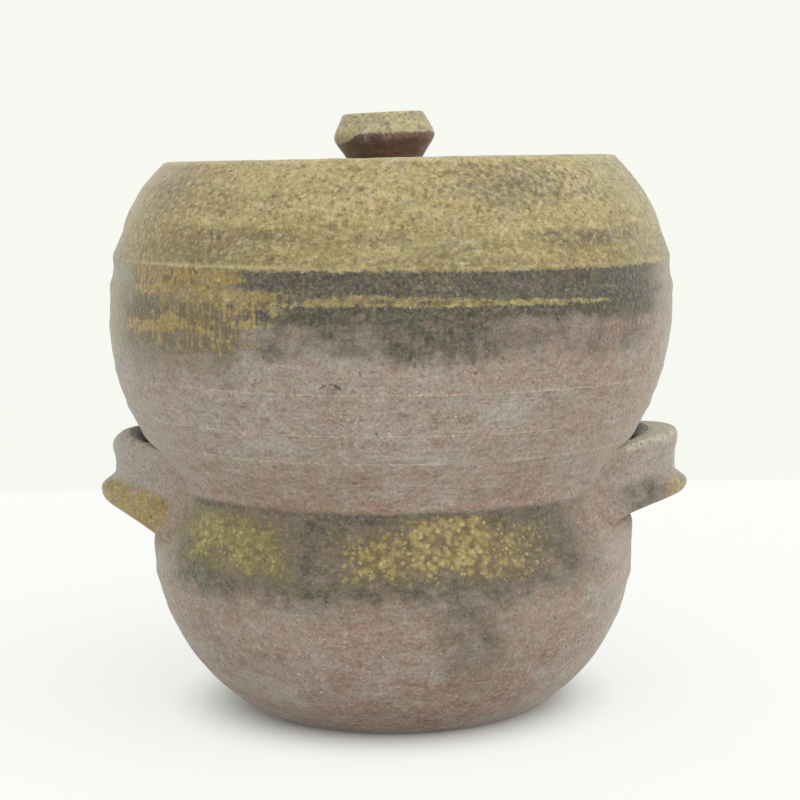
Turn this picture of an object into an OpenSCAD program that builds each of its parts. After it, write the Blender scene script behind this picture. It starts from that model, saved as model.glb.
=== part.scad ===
// Lidded stoneware water jar for the tea room.
// A globe-shaped upper section is luted to a round lower bowl at the waist, with a hollow strap
// lug over the waist at each side, and a lid with a button knob is dropped into the mouth.
// Millimetres, +Z up, origin at the centre of the flat base, lugs along X.

/* [Lower bowl] */
// Radius of the flat base
foot_r = 49; // [44:0.5:54]
// Greatest radius of the lower bowl
bowl_r = 80; // [75:0.5:85]
// Height of the bowl's greatest radius above the base
bowl_h = 55; // [50:1:62]
// Thickness of the floor
floor_t = 9; // [6:0.5:14]

/* [Waist] */
// How far the waist is drawn in from the bowl
waist_in = 7; // [5:0.5:9]
// Height from the bowl's greatest radius to the waist
neck_h = 19; // [17:1:25]
// Radius of the hollow curve at the waist
waist_hollow = 16; // [10:1:21]

/* [Upper globe] */
// Greatest radius of the globe
globe_r = 93; // [89:0.5:99]
// Height from the waist to the globe's greatest radius
globe_low_h = 58; // [52:1:64]
// Height from the globe's greatest radius to the rim
globe_high_h = 50; // [46:1:56]
// How far the globe's side rises before the shoulder turns in
shoulder_rise = 32; // [27:0.5:38]

/* [Wall and joint] */
// Thickness of the thrown wall
wall = 7; // [5:0.5:9]
// Width of the key in the luted joint at the waist
key_w = 2.4; // [1.6:0.2:3.2]
// Height of that key
key_h = 1.6; // [1:0.2:2.4]
// Film of slip between luted faces
lute_gap = 0.1; // [0.05:0.05:0.25]

/* [Mouth] */
// Radius of the mouth above its ledge
mouth_r = 65; // [60:0.5:70]
// Width of the flat rim round the mouth
rim_w = 8; // [6:0.5:11]
// Depth of the ledge below the rim
ledge_depth = 10; // [7:0.5:13]
// How far the ledge stands in from the mouth
ledge_w = 8; // [5:0.5:11]
// Thickness of the ledge at its inner edge
ledge_t = 6; // [4:0.5:8]
// Drop of the ledge's underside from its edge to the wall
ledge_slope = 8; // [4:0.5:11]
// Bevel at the mouth's inner edge
mouth_bevel = 1; // [0.5:0.25:2]

/* [Lid] */
// Clearance round the lid in the mouth
lid_gap = 1; // [0.5:0.25:2]
// Thickness of the lid at its edge
lid_edge_t = 4.6; // [3:0.2:6]
// Rise of the lid from its edge to the knob's seat
lid_rise = 1.4; // [0.6:0.2:2.6]
// Rounding of the lid's top edge
lid_round = 1.6; // [0.8:0.2:2.6]
// Depth of the locating flange below the lid
flange_h = 5; // [3:0.5:7]
// Width of that flange
flange_w = 5; // [3:0.5:7]
// Clearance of the flange inside the ledge
flange_gap = 1.5; // [0.75:0.25:3]

/* [Knob] */
// Greatest radius of the knob
knob_r = 16.4; // [14.6:0.2:19]
// Radius of the knob's foot on the lid
knob_foot_r = 10.6; // [8:0.2:12.6]
// Width of the flat seat round the knob's foot
seat_margin = 2.6; // [1:0.2:5]
// Radius of the knob's top
knob_top_r = 13.6; // [11:0.2:14.4]
// Height of the knob's ridge above the lid
knob_ridge_h = 10; // [8:0.5:14]
// Height of the knob's top above its ridge
knob_crown_h = 8.5; // [5:0.5:11]
// Rounding of the knob's ridge
knob_round = 1.4; // [0.8:0.2:2]
// Depth of the dimple in the knob's top
dimple_h = 1.6; // [0.8:0.2:3]
// Width of the flat edge round the dimple
dimple_edge = 2.6; // [1.6:0.2:4]

/* [Lugs] */
// Slit left between the globe and the lug's upper lip
lug_slit = 3; // [1.4:0.2:5]
// Half the width of a lug along the wall
lug_half_w = 32; // [29:0.5:36]
// Half the width of the gap behind the strap
gap_half_w = 23; // [19:0.5:25]
// Thickness of the strap
lug_t = 6.6; // [5.4:0.2:8]
// Thickness of the lug's edge where it runs out on the wall
lug_edge_t = 0.6; // [0.4:0.1:1.2]
// How far the lower lip stands out
low_lip = 4.4; // [2:0.2:6]
// Extra thickness of the lower lip
low_lip_t = 3.4; // [2:0.2:4]
// How far the upper lip stands out
high_lip = 1.6; // [0.8:0.2:3]
// Extra thickness of the upper lip
high_lip_t = 2.4; // [1.4:0.2:3.4]
// Rounding of the lips outside
lip_round = 3.4; // [2:0.2:3.8]
// Rounding of the lips inside
lip_inner_round = 1.4; // [0.8:0.2:1.8]
// Height of the lug's ends above the waist
lug_above = 14.5; // [12:0.5:17]
// Depth of the lug's ends below the waist
lug_below = 13.5; // [11:0.5:15.5]
// Rise of the upper lip from the ends to the tip
high_rise = 4; // [0:0.5:6]
// Rise of the lower lip from the ends to the tip
low_rise = 8; // [5:0.5:11]

/* [Throwing rings] */
// Height of the ridges left by the fingers
ring_h = 0.5; // [0.2:0.1:0.8]
// Width of a ridge
ring_w = 4.4; // [3:0.2:7]

/* [Hidden] */
$fn = 180;

// Heights and radii along the body
bowl_z = bowl_h;
waist_z = bowl_z + neck_h;
globe_z = waist_z + globe_low_h;
rim_z = globe_z + globe_high_h;
waist_r = bowl_r - waist_in;
rim_r = mouth_r + rim_w;
ledge_z = rim_z - ledge_depth;
ledge_r = mouth_r - ledge_w;
gallery_z = ledge_z - ledge_t - ledge_slope;
key_r = waist_r - wall / 2;

// Heights and radii of the lid
lid_r = mouth_r - lid_gap;
lid_edge_z = ledge_z + lid_edge_t;
seat_z = lid_edge_z + lid_rise;
flange_r = ledge_r - flange_gap;
seat_r = knob_foot_r + seat_margin;

// Ridges that show on the fired jar, placed from the body's own heights
bowl_rings = [bowl_z - 22.5, bowl_z - 7];
globe_rings = [waist_z + 25.5, globe_z - 19.5, globe_z - 5, globe_z + 8, globe_z + 19];
lid_rings = [0.42, 0.6, 0.78];

// Spacing of the outline's points, and counts along round stretches
outline_step = 1.5;
inner_step = 4;
curve_steps = 8;
lug_levels = 14;
lug_turns = 18;
lug_rests = 3;

// Heights from low to high, evenly spaced and no further apart than step
function spread(low, high, step) =
    let (count = ceil((high - low) / step))
    [for (i = [0 : count]) low + (high - low) * i / count];

// Radius of an arc that leaves the widest point upright and ends inset by d at a distance h
function upright_arc(d, h) = (d * d + h * h) / (2 * d);

// Points of an arc round [r, z], from one angle to another
function arc(centre, radius, from, to, steps) =
    [for (i = [0 : steps]) let (a = from + (to - from) * i / steps)
        centre + radius * [cos(a), sin(a)]];

// Radius of the bowl's lower side at height z, taken in by inset
function bowl_side(z, inset) =
    let (curve = upright_arc(bowl_r - foot_r, bowl_h))
    bowl_r - curve + sqrt(pow(curve - inset, 2) - pow(z - bowl_z, 2));

// Radius of the two arcs between the waist and a swelling above or below it
function waist_side(z, wide_z, wide_r, inset) =
    let (h = abs(wide_z - waist_z),
         both = upright_arc(wide_r - waist_r, h),
         hollow = waist_hollow + inset,
         swell = both - hollow,
         away = abs(z - waist_z))
    away < hollow * h / both
        ? waist_r - inset + hollow - sqrt(hollow * hollow - away * away)
        : wide_r - inset - swell + sqrt(swell * swell - pow(h - away, 2));

// Share of the shoulder's curve at height z
function shoulder_share(z) =
    let (bend = globe_high_h - 2 * shoulder_rise, rise = z - globe_z)
    abs(bend) < 0.001
        ? rise / (2 * shoulder_rise)
        : (sqrt(shoulder_rise * shoulder_rise + bend * rise) - shoulder_rise) / bend;

// Radius of the shoulder, a parabola that leaves the globe upright and ends at the rim
function shoulder_side(z, inset) =
    let (t = shoulder_share(z),
         dr = (globe_r - rim_r) * t,
         dz = (1 - t) * shoulder_rise + t * (globe_high_h - shoulder_rise))
    globe_r - (globe_r - rim_r) * t * t - inset * sqrt(1 + pow(dr / dz, 2));

// Radius of the smooth wall at height z, taken in by inset
function wall_r(z, inset = 0) =
    z < bowl_z ? bowl_side(z, inset)
    : z < waist_z ? waist_side(z, bowl_z, bowl_r, inset)
    : z < globe_z ? waist_side(z, globe_z, globe_r, inset)
    : shoulder_side(z, inset);

// Height of the ridge at distance away from its crest
function ridge(away) = abs(away) < ring_w / 2 ? ring_h * pow(cos(away / ring_w * 180), 2) : 0;

// Sum of the ridges in a list at height z
function ridges(z, rings, i = 0) =
    i == len(rings) ? 0 : ridge(z - rings[i]) + ridges(z, rings, i + 1);

// Outer outline between two heights, with its ridges
function outer(low, high, rings) =
    [for (z = spread(low, high, outline_step)) [wall_r(z) + ridges(z, rings), z]];

// Inner outline between two heights, from the top down
function inner(low, high) =
    let (zs = spread(low, high, inner_step))
    [for (i = [len(zs) - 1 : -1 : 0]) [wall_r(zs[i], wall), zs[i]]];

module lower_bowl() {
    color([0.50, 0.42, 0.37])
    rotate_extrude()
    polygon(concat(
        [[0, 0]],
        outer(0, waist_z, bowl_rings),
        [[key_r + key_w / 2, waist_z], [key_r + key_w / 2, waist_z + key_h],
         [key_r - key_w / 2, waist_z + key_h], [key_r - key_w / 2, waist_z]],
        inner(floor_t, waist_z),
        [[0, floor_t]]));
}

module upper_globe() {
    groove_w = key_w + 2 * lute_gap;
    groove_z = waist_z + key_h + lute_gap;
    color([0.52, 0.45, 0.34])
    rotate_extrude()
    polygon(concat(
        outer(waist_z, rim_z, globe_rings),
        [[mouth_r + mouth_bevel, rim_z], [mouth_r, rim_z - mouth_bevel],
         [mouth_r, ledge_z], [ledge_r, ledge_z], [ledge_r, ledge_z - ledge_t]],
        inner(waist_z, gallery_z),
        [[key_r - groove_w / 2, waist_z], [key_r - groove_w / 2, groove_z],
         [key_r + groove_w / 2, groove_z], [key_r + groove_w / 2, waist_z]]));
}

// Share of the lower lip at level w, full at the bottom edge and gone half way up
function low_share(w) = w < 0.12 ? 1 : w < 0.5 ? pow(cos((w - 0.12) / 0.38 * 90), 2) : 0;

// Share of the upper lip at level w, full at the top edge and gone a third of the way down
function high_share(w) = w > 0.65 ? pow(cos((1 - w) / 0.35 * 90), 2) : 0;

// How far a rounded edge is taken in at a distance from it
function edge_inset(away, radius) =
    away < radius ? radius - sqrt(pow(radius, 2) - pow(radius - away, 2)) : 0;

// Share of the lug's reach at distance v along the wall from its middle
function reach(v) = pow(max(0, 1 - pow(abs(v) / lug_half_w, 2.4)), 1.3);

// Height of level w at distance v
function lug_z(w, v) =
    let (low = waist_z - lug_below + low_rise * reach(v),
         high = waist_z + lug_above + high_rise * reach(v))
    low + w * (high - low);

// Distance of level w from the nearer lip, taken at the tip
function lip_away(w) = min(w, 1 - w) * (lug_z(1, 0) - lug_z(0, 0));

// Point at distance v that stands off the wall by a height
function lug_point(w, v, off) =
    let (z = lug_z(w, v))
    [sqrt(pow(wall_r(z) + lute_gap, 2) - v * v) + off, v, z];

// Radius of the strap's outer face from the jar's axis, from the slit at the upper lip
lug_r = wall_r(waist_z + lug_above + high_rise) + lug_slit + lug_t + high_lip_t - high_lip;

// Closed outline of the strap at level w: outer face, one rest on the wall, inner face, other rest
function lug_outline(w) =
    let (inset = edge_inset(lip_away(w), lip_round),
         inner_inset = edge_inset(lip_away(w), lip_inner_round),
         lip = low_lip * low_share(w) + high_lip * high_share(w),
         thick = lug_t + low_lip_t * low_share(w) + high_lip_t * high_share(w),
         stand = lug_r + lip - wall_r(lug_z(w, 0)) - lute_gap,
         out = stand - inset - lug_edge_t,
         hollow = stand - thick + inner_inset,
         far = lug_half_w - inset,
         near = gap_half_w + inner_inset,
         turns = [for (i = [0 : lug_turns]) sin(-90 + 180 * i / lug_turns)],
         rests = [for (i = [0 : lug_rests - 1]) far + (near - far) * i / lug_rests])
    concat(
        [for (s = turns) lug_point(w, far * s, lug_edge_t + out * reach(lug_half_w * s))],
        [for (v = rests) lug_point(w, v, 0)],
        [for (s = turns) lug_point(w, -near * s, hollow * sqrt(max(0, 1 - s * s)))],
        [for (i = [lug_rests - 1 : -1 : 0]) lug_point(w, -rests[i], 0)]);

// Strap lug standing out along +X
module lug() {
    outer_end = lug_turns;
    inner_start = outer_end + lug_rests + 1;
    inner_end = inner_start + lug_turns;
    around = inner_end + lug_rests + 1;
    levels = [for (i = [0 : lug_levels]) (1 - cos(180 * i / lug_levels)) / 2];
    points = [for (w = levels) each lug_outline(w)];
    sides = [for (i = [0 : lug_levels - 1]) for (j = [0 : around - 1])
        let (a = i * around + j, b = i * around + (j + 1) % around)
        each [[a, a + around, b + around], [a, b + around, b]]];
    strip = [for (j = [0 : lug_turns - 1]) each
        [[j, j + 1, inner_end - j - 1], [j, inner_end - j - 1, inner_end - j]]];
    right_rest = [for (j = [1 : lug_rests]) [outer_end, outer_end + j, outer_end + j + 1]];
    left_rest = [for (j = [0 : lug_rests - 1]) [0, inner_end + j, inner_end + j + 1]];
    bottom = concat(strip, right_rest, left_rest);
    top = [for (f = bottom) [f[0], f[2], f[1]] + lug_levels * around * [1, 1, 1]];
    polyhedron(points, concat(sides, bottom, top));
}

module right_lug() {
    color([0.51, 0.44, 0.38])
    lug();
}

module left_lug() {
    color([0.53, 0.46, 0.34])
    rotate([0, 0, 180])
    lug();
}

// Lid's top from the knob's seat to the rounded edge, with its throwing rings
function lid_top() =
    let (flat_r = lid_r - lid_round, crest = spread(seat_r, flat_r, outline_step),
         rings = [for (share = lid_rings) seat_r + share * (flat_r - seat_r)])
    [for (r = crest) let (t = (r - seat_r) / (flat_r - seat_r))
        [r, seat_z - lid_rise * t * t + (t > 0 && t < 1 ? ridges(r, rings) : 0)]];

module lid_plate() {
    color([0.52, 0.46, 0.33])
    rotate_extrude()
    polygon(concat(
        [[0, seat_z]],
        lid_top(),
        arc([lid_r - lid_round, lid_edge_z - lid_round], lid_round, 75, 0, curve_steps),
        [[lid_r, ledge_z], [flange_r, ledge_z], [flange_r, ledge_z - flange_h],
         [flange_r - flange_w, ledge_z - flange_h], [flange_r - flange_w, ledge_z], [0, ledge_z]]));
}

module lid_knob() {
    ridge_z = seat_z + knob_ridge_h;
    top_z = ridge_z + knob_crown_h;
    dimple_r = knob_top_r - dimple_edge;
    color([0.50, 0.42, 0.33])
    rotate_extrude()
    polygon(concat(
        [[0, seat_z], [knob_foot_r, seat_z]],
        arc([knob_r - knob_round, ridge_z], knob_round, -50, 55, curve_steps),
        [[knob_top_r, top_z]],
        [for (i = [curve_steps : -1 : 0]) let (t = i / curve_steps)
            [dimple_r * t, top_z - dimple_h * (1 - t * t)]]));
}

lower_bowl();
upper_globe();
left_lug();
right_lug();
lid_plate();
lid_knob();
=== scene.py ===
"""Looks of a wood-fired lidded water jar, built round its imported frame.

Shapes are worked out in millimetres in the jar's frame, with azimuth 0 at the front (-Y) and 90 at the
right lug (+X), and the meshes are written in metres.
"""

import functools
import itertools
import math

import bpy
import numpy as np
from mathutils import Matrix, Vector


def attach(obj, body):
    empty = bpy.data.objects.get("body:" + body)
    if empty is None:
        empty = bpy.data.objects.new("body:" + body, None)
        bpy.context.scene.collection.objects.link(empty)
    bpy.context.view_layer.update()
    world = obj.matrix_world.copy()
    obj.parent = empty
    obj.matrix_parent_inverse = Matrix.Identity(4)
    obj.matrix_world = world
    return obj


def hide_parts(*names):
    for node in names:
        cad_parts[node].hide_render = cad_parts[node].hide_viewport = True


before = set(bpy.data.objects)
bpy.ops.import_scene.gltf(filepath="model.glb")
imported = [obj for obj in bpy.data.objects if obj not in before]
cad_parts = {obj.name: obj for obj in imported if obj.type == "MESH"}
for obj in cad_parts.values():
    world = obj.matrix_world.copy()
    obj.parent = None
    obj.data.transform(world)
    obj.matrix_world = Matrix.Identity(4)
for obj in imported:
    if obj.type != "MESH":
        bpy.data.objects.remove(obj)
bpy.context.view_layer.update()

# Sizes of the jar, as in its solids
FOOT_R, BOWL_R, BOWL_Z, FLOOR_T = 49.0, 80.0, 55.0, 9.0
WAIST_R, WAIST_Z, HOLLOW = 73.0, 74.0, 16.0
GLOBE_R, GLOBE_Z, SHOULDER_RISE = 93.0, 132.0, 32.0
RIM_R, RIM_Z, WALL = 73.0, 182.0, 7.0
MOUTH_R, LEDGE_Z, LEDGE_R, LEDGE_T, LEDGE_SLOPE = 65.0, 172.0, 57.0, 6.0, 8.0
LID_R, LID_EDGE_Z, LID_ROUND, SEAT_Z, SEAT_R = 64.0, 176.6, 1.6, 178.0, 13.2
FLANGE_R, FLANGE_W, FLANGE_H = 55.5, 5.0, 5.0
KNOB_R, KNOB_RIDGE_Z, KNOB_TOP_Z = 16.4, 188.0, 196.5

# Radius of the wall in its noises, and fall of the throwing lines from left to right, in mm for each mm
ROUND_R, FALL = 88.0, 0.013

# Sideways shift of the wall at the foot and at the shoulder
LEAN_FOOT, LEAN_SHOULDER = 1.3, 1.2

# Clay pushed out under the right lug: how far, azimuth and its width in radians, height and its width
BULGE, BULGE_AZ, BULGE_AZ_W, BULGE_Z, BULGE_Z_W = 1.9, 1.45, 0.3, 63.5, 5.0

# Ridges and grooves left by the fingers: height, how far they stand out, and width
RIDGES = [
    (32.5, 0.25, 5.0), (45.2, 0.6, 4.6), (62.0, 0.2, 7.0), (82.0, 0.15, 5.0), (91.6, 0.35, 3.4),
    (100.5, 0.4, 3.2), (107.0, 0.2, 5.0), (113.0, 0.4, 3.2), (120.0, 0.2, 6.0), (127.5, 0.25, 5.0),
    (140.2, 0.55, 4.6), (145.4, -0.35, 6.0), (150.4, 0.8, 5.0), (158.0, -0.5, 5.0), (164.0, 0.3, 6.0),
    (171.5, 0.25, 6.0),
]

# Lugs: reach and height of the strap, how its lips turn out, and the slit left at its top
LUG_HALF_W, GAP_HALF_W, STRAP = 36.0, 22.0, 6.6
LEFT_LUG = {
    "side": -1, "face_r": 92.3, "crest": 92.4, "top_end": 88.4, "low_tip": 69.3, "low_end": 59.8,
    "bow": 0.9, "lip": 4.9, "lip_full": 0.2, "lip_gone": 0.42, "brow": 1.1, "top_round": 5.8, "slit": 3.4,
    "seed": 71,
}
RIGHT_LUG = {
    "side": 1, "face_r": 95.0, "crest": 90.8, "top_end": 87.2, "low_tip": 69.3, "low_end": 60.6,
    "bow": 0.4, "lip": 4.0, "lip_full": 0.16, "lip_gone": 0.36, "brow": 1.4, "top_round": 3.0, "slit": 2.8,
    "seed": 72,
}


# Smooth noise for hand-made forms

rng = np.random.RandomState(11)
shuffle = np.tile(rng.permutation(256), 2)
slopes = rng.normal(size=(256, 3))
slopes /= np.linalg.norm(slopes, axis=1)[:, None]


def noise(points, size, seed):
    """Noise of about -1 to 1 at points (..., 3), with features of a size in mm."""
    q = np.asarray(points, float) / size + seed * 19.7
    cell = np.floor(q).astype(int)
    part = q - cell
    ease = part ** 3 * (part * (part * 6 - 15) + 10)
    total = np.zeros(q.shape[:-1])
    for corner in itertools.product((0, 1), repeat=3):
        c = np.array(corner)
        at = (cell + c) & 255
        key = shuffle[shuffle[shuffle[at[..., 0]] + at[..., 1]] + at[..., 2]]
        weight = np.where(c, ease, 1 - ease).prod(-1)
        total += weight * (slopes[key] * (part - c)).sum(-1)
    return 1.6 * total


def smooth(value, low, high):
    """Smooth step from 0 at low to 1 at high."""
    t = np.clip((value - low) / (high - low), 0, 1)
    return t * t * (3 - 2 * t)


# The thrown wall


def upright_arc(d, h):
    """Radius of an arc that leaves its widest point upright and ends inset by d at a distance h."""
    return (d * d + h * h) / (2 * d)


def waist_side(z, wide_z, wide_r, inset):
    """Radius between the waist and the widest point above or below it: a hollow that runs into a swell."""
    h = abs(wide_z - WAIST_Z)
    both = upright_arc(wide_r - WAIST_R, h)
    hollow = HOLLOW + inset
    swell = both - hollow
    away = np.abs(z - WAIST_Z)
    near = WAIST_R - inset + hollow - np.sqrt(np.maximum(hollow ** 2 - away ** 2, 0))
    far = wide_r - inset - swell + np.sqrt(np.maximum(swell ** 2 - (h - away) ** 2, 0))
    return np.where(away < hollow * h / both, near, far)


def wall_r(z, inset=0.0):
    """Radius of the smooth wall at height z, taken in by inset."""
    z = np.asarray(z, float)
    curve = upright_arc(BOWL_R - FOOT_R, BOWL_Z)
    bowl = BOWL_R - curve + np.sqrt(np.maximum((curve - inset) ** 2 - (z - BOWL_Z) ** 2, 0))
    rise = RIM_Z - GLOBE_Z
    bend = rise - 2 * SHOULDER_RISE
    t = (np.sqrt(np.maximum(SHOULDER_RISE ** 2 + bend * (z - GLOBE_Z), 0)) - SHOULDER_RISE) / bend
    slope = (GLOBE_R - RIM_R) * t / ((1 - t) * SHOULDER_RISE + t * (rise - SHOULDER_RISE))
    shoulder = GLOBE_R - (GLOBE_R - RIM_R) * t * t - inset * np.sqrt(1 + slope ** 2)
    low = waist_side(z, BOWL_Z, BOWL_R, inset)
    high = waist_side(z, GLOBE_Z, GLOBE_R, inset)
    return np.select([z < BOWL_Z, z < WAIST_Z, z < GLOBE_Z], [bowl, low, high], shoulder)


def round_points(az, z, radius=ROUND_R, drawn=1.0):
    """Points for noise round the jar; drawn over 1 draws its features out sideways."""
    return np.stack([np.sin(az) * radius / drawn, -np.cos(az) * radius / drawn, z + 0 * az], -1)


def hand(az, z):
    """How far the hand-thrown wall stands out from the smooth one, in mm."""
    soft = round_points(az, z)
    drawn = round_points(az, z, drawn=8)
    out = 0.42 * noise(soft, 75, 1) + 0.14 * noise(soft, 20, 2) - 0.1
    out = out + 0.16 * noise(drawn, 7, 3) + 0.1 * noise(drawn, 2.6, 4) + 0.06 * noise(soft, 3.2, 5)
    out = out + BULGE * np.exp(-((az - BULGE_AZ) / BULGE_AZ_W) ** 2 - ((z - BULGE_Z) / BULGE_Z_W) ** 2)
    level = z + FALL * ROUND_R * np.sin(az) + 0.5 * noise(drawn, 30, 6)
    for height, stand, width in RIDGES:
        fade = 0.75 + 0.35 * noise(round_points(az, height), 40, height)
        out = out + stand * fade * np.exp(-((level - height) / (0.42 * width)) ** 2)
    return out


def lean(z):
    """Sideways shift of the wall, which stands a little to the right at the foot and at the shoulder."""
    return LEAN_FOOT * (1 - smooth(z, 0, 70)) + LEAN_SHOULDER * smooth(z, 95, 145)


# Meshes


def placed(name, data):
    """New object in the scene, made of some data."""
    piece = bpy.data.objects.new(name, data)
    bpy.context.scene.collection.objects.link(piece)
    return piece


def make_piece(name, points, faces, marks, sharp=48):
    """Mesh object from points in mm, smooth but for its sharp edges; marks are numbers at the points."""
    mesh = bpy.data.meshes.new(name)
    mesh.from_pydata((np.asarray(points) / 1000).tolist(), [], faces)
    for mark, values in marks.items():
        layer = mesh.attributes.new(mark, "FLOAT", "POINT")
        layer.data.foreach_set("value", np.asarray(values, np.float32))
    mesh.shade_smooth()
    mesh.set_sharp_from_angle(angle=math.radians(sharp))
    return placed(name, mesh)


def turned(name, outside, inside, count):
    """Mesh of rows of points round the axis, each (count, 3) or one point on the axis, marked out or in."""
    rows = outside + inside
    starts = np.cumsum([0] + [len(row) for row in rows])
    pairs = [(i, i + 1) for i in range(len(rows) - 1)]
    if len(rows[0]) == count and len(rows[-1]) == count:
        pairs.append((len(rows) - 1, 0))
    faces = []
    for a, b in pairs:
        i, j = int(starts[a]), int(starts[b])
        for k in range(count):
            n = (k + 1) % count
            if len(rows[a]) == 1:
                faces.append((i, j + n, j + k))
            elif len(rows[b]) == 1:
                faces.append((i + k, i + n, j))
            else:
                faces.append((i + k, i + n, j + n, j + k))
    marks = np.concatenate([np.full(len(row), float(n < len(outside))) for n, row in enumerate(rows)])
    return make_piece(name, np.concatenate(rows), faces, {"outside": marks})


def circle(count):
    """Azimuths of evenly spaced points round the axis."""
    return np.arange(count) * 2 * math.pi / count


def ring(az, r, z, shift=0.0):
    """Row of points round the axis, which is shifted sideways."""
    return np.stack([r * np.sin(az) + shift, -r * np.cos(az), z + 0 * az], -1)


def rings(az, outline, shift=0.0):
    """Rows of points from an outline of radii and heights."""
    return [ring(az, r + 0 * az, z, shift) for r, z in outline]


def axis_point(z, shift=0.0):
    """Row of one point on the axis, which closes a turned mesh."""
    return np.array([[shift, 0.0, z]])


def wall_rows(az, heights):
    """Outside of the hand-thrown wall at some heights."""
    return [ring(az, wall_r(z) + hand(az, z + 0 * az), z, lean(z)) for z in heights]


def inner_rows(az, heights):
    """Inside of the wall, with its own softer throwing lines."""
    rows = []
    for z in heights:
        out = 0.4 * noise(round_points(az, z, 70), 60, 21) + 0.45 * noise(round_points(az, z, 70, 10), 9, 22)
        rows.append(ring(az, wall_r(z, WALL) + out, z, lean(z)))
    return rows


def lower_bowl():
    """Bowl up to the waist, on a slightly hollow base, with a spiral left on its floor."""
    az = circle(480)
    shift, lift = lean(0), 0.4
    base = [axis_point(lift, shift)]
    base += rings(az, [(r, lift * (1 - r / 44)) for r in (8, 16, 24, 31, 38, 44)], shift)
    uneven = 0.25 * noise(round_points(az, 0, 48), 14, 31)
    foot = [ring(az, FOOT_R - 1.6 + uneven, 0.0, shift), ring(az, FOOT_R - 0.5 + uneven, 0.35, shift)]
    low = 1.2 + (BOWL_Z - 1.2) * (1 - np.cos(np.linspace(0, math.pi / 2, 54)))
    outer = wall_rows(az, np.concatenate([low, np.linspace(BOWL_Z, WAIST_Z, 22)[1:]]))
    inner = inner_rows(az, np.linspace(WAIST_Z, FLOOR_T + 0.4, 24))
    floor_r = float(wall_r(FLOOR_T, WALL))
    spiral = [(r, FLOOR_T + 0.5 * math.cos(r / 3.4) * r / floor_r) for r in np.linspace(floor_r - 2, 3, 18)]
    inside = inner + rings(az, spiral, lean(FLOOR_T)) + [axis_point(FLOOR_T, lean(FLOOR_T))]
    return turned("lower_bowl_clay", base + foot + outer, inside, len(az))


def upper_globe():
    """Globe from the waist to a worn rim, with a ledge for the lid inside its mouth."""
    az = circle(576)
    outer = wall_rows(az, np.linspace(WAIST_Z, RIM_Z - 2.4, 100))
    edge = round_points(az, RIM_Z, 70)
    worn = 0.3 * noise(edge, 11, 41) + 0.22 * noise(edge, 3.5, 42)
    top = RIM_Z - 0.8 + 0.15 * np.sin(az) + 0.2 * noise(edge, 60, 43) + 0.14 * noise(edge, 6, 44)
    out = hand(az, RIM_Z + 0 * az)
    shift = lean(RIM_Z)
    rim_r = float(wall_r(RIM_Z - 0.8))
    lip = [
        (wall_r(RIM_Z - 1.4) + out + 0.1 * worn, top - 0.5),
        (rim_r - 0.4 + out + 0.4 * worn, top - 0.08),
        (rim_r - 1.4 + out + 0.3 * worn, top + 0.06),
        (MOUTH_R + 4.2, top + 0.1),
        (MOUTH_R + 1.4, top - 0.05),
        (MOUTH_R + 0.55 + 0.2 * worn, top - 0.5),
    ]
    mouth = [ring(az, MOUTH_R + 0.15 + 0 * az, top - 1.4, shift)]
    for z in np.linspace(RIM_Z - 3.4, LEDGE_Z + 0.6, 7):
        groove = 0.18 * noise(round_points(az, z, 65, 10), 2.4, 45)
        mouth.append(ring(az, MOUTH_R + groove, z, shift * smooth(z, LEDGE_Z, RIM_Z)))
    under = LEDGE_Z - LEDGE_T
    ledge = [
        (MOUTH_R - 0.6, LEDGE_Z), (61.0, LEDGE_Z - 0.05), (LEDGE_R + 0.7, LEDGE_Z - 0.05),
        (LEDGE_R, LEDGE_Z - 0.8), (LEDGE_R, under + 0.8), (LEDGE_R + 0.9, under),
    ]
    root_z = under - LEDGE_SLOPE
    root_r = float(wall_r(root_z, WALL))
    ledge += [(LEDGE_R + (root_r - LEDGE_R) * t, under - LEDGE_SLOPE * t ** 1.3) for t in (0.3, 0.55, 0.8)]
    inside = mouth + rings(az, ledge) + inner_rows(az, np.linspace(root_z, WAIST_Z, 26))
    return turned("upper_globe_clay", outer + rings(az, lip, shift), inside, len(az))


def rounded(away, radius):
    """How far a rounded edge is taken in at a distance from it."""
    return float(radius - math.sqrt(radius ** 2 - (radius - away) ** 2)) if away < radius else 0.0


def strap_faces(count, around, turn, rests):
    """Faces of a strap of count rows, each of around points, with a cap at each end.

    A row has turn points outside and as many inside, and rests points on the wall at each end between them.
    """
    faces = []
    for i in range(count - 1):
        for j in range(around):
            n = (j + 1) % around
            faces.append((i * around + j, i * around + n, (i + 1) * around + n, (i + 1) * around + j))
    last = 2 * turn + rests - 1
    cap = [(j, j + 1, last - j - 1, last - j) for j in range(turn - 1)]
    cap += [(turn - 1, turn - 1 + k, turn + k) for k in range(1, rests + 1)]
    cap += [(0, last + k, last + k + 1) for k in range(rests)]
    top = (count - 1) * around
    return faces + [f[::-1] for f in cap] + [tuple(top + k for k in f) for f in cap]


def lug_reach(v):
    """Share of the strap's full reach at a distance v from its middle."""
    return np.maximum(0, 1 - (np.abs(v) / LUG_HALF_W) ** 2.3) ** 1.75


def lug_height(s, w, v):
    """Height on the strap at a share w of the way up it."""
    low = s["low_end"] + (s["low_tip"] - s["low_end"]) * lug_reach(v) ** s["bow"]
    high = s["top_end"] + (s["crest"] - s["top_end"]) * lug_reach(v) ** 0.6
    return low + w * (high - low)


def off_wall(s, w, v, off):
    """Points of the strap that stand off the thrown wall along X."""
    z = lug_height(s, w, v)
    az = s["side"] * (math.pi / 2 - np.arcsin(v / wall_r(z)))
    r = wall_r(z) + hand(az, z)
    return np.stack([s["side"] * (np.sqrt(r * r - v * v) + off) + lean(z), -v, z], -1)


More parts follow.
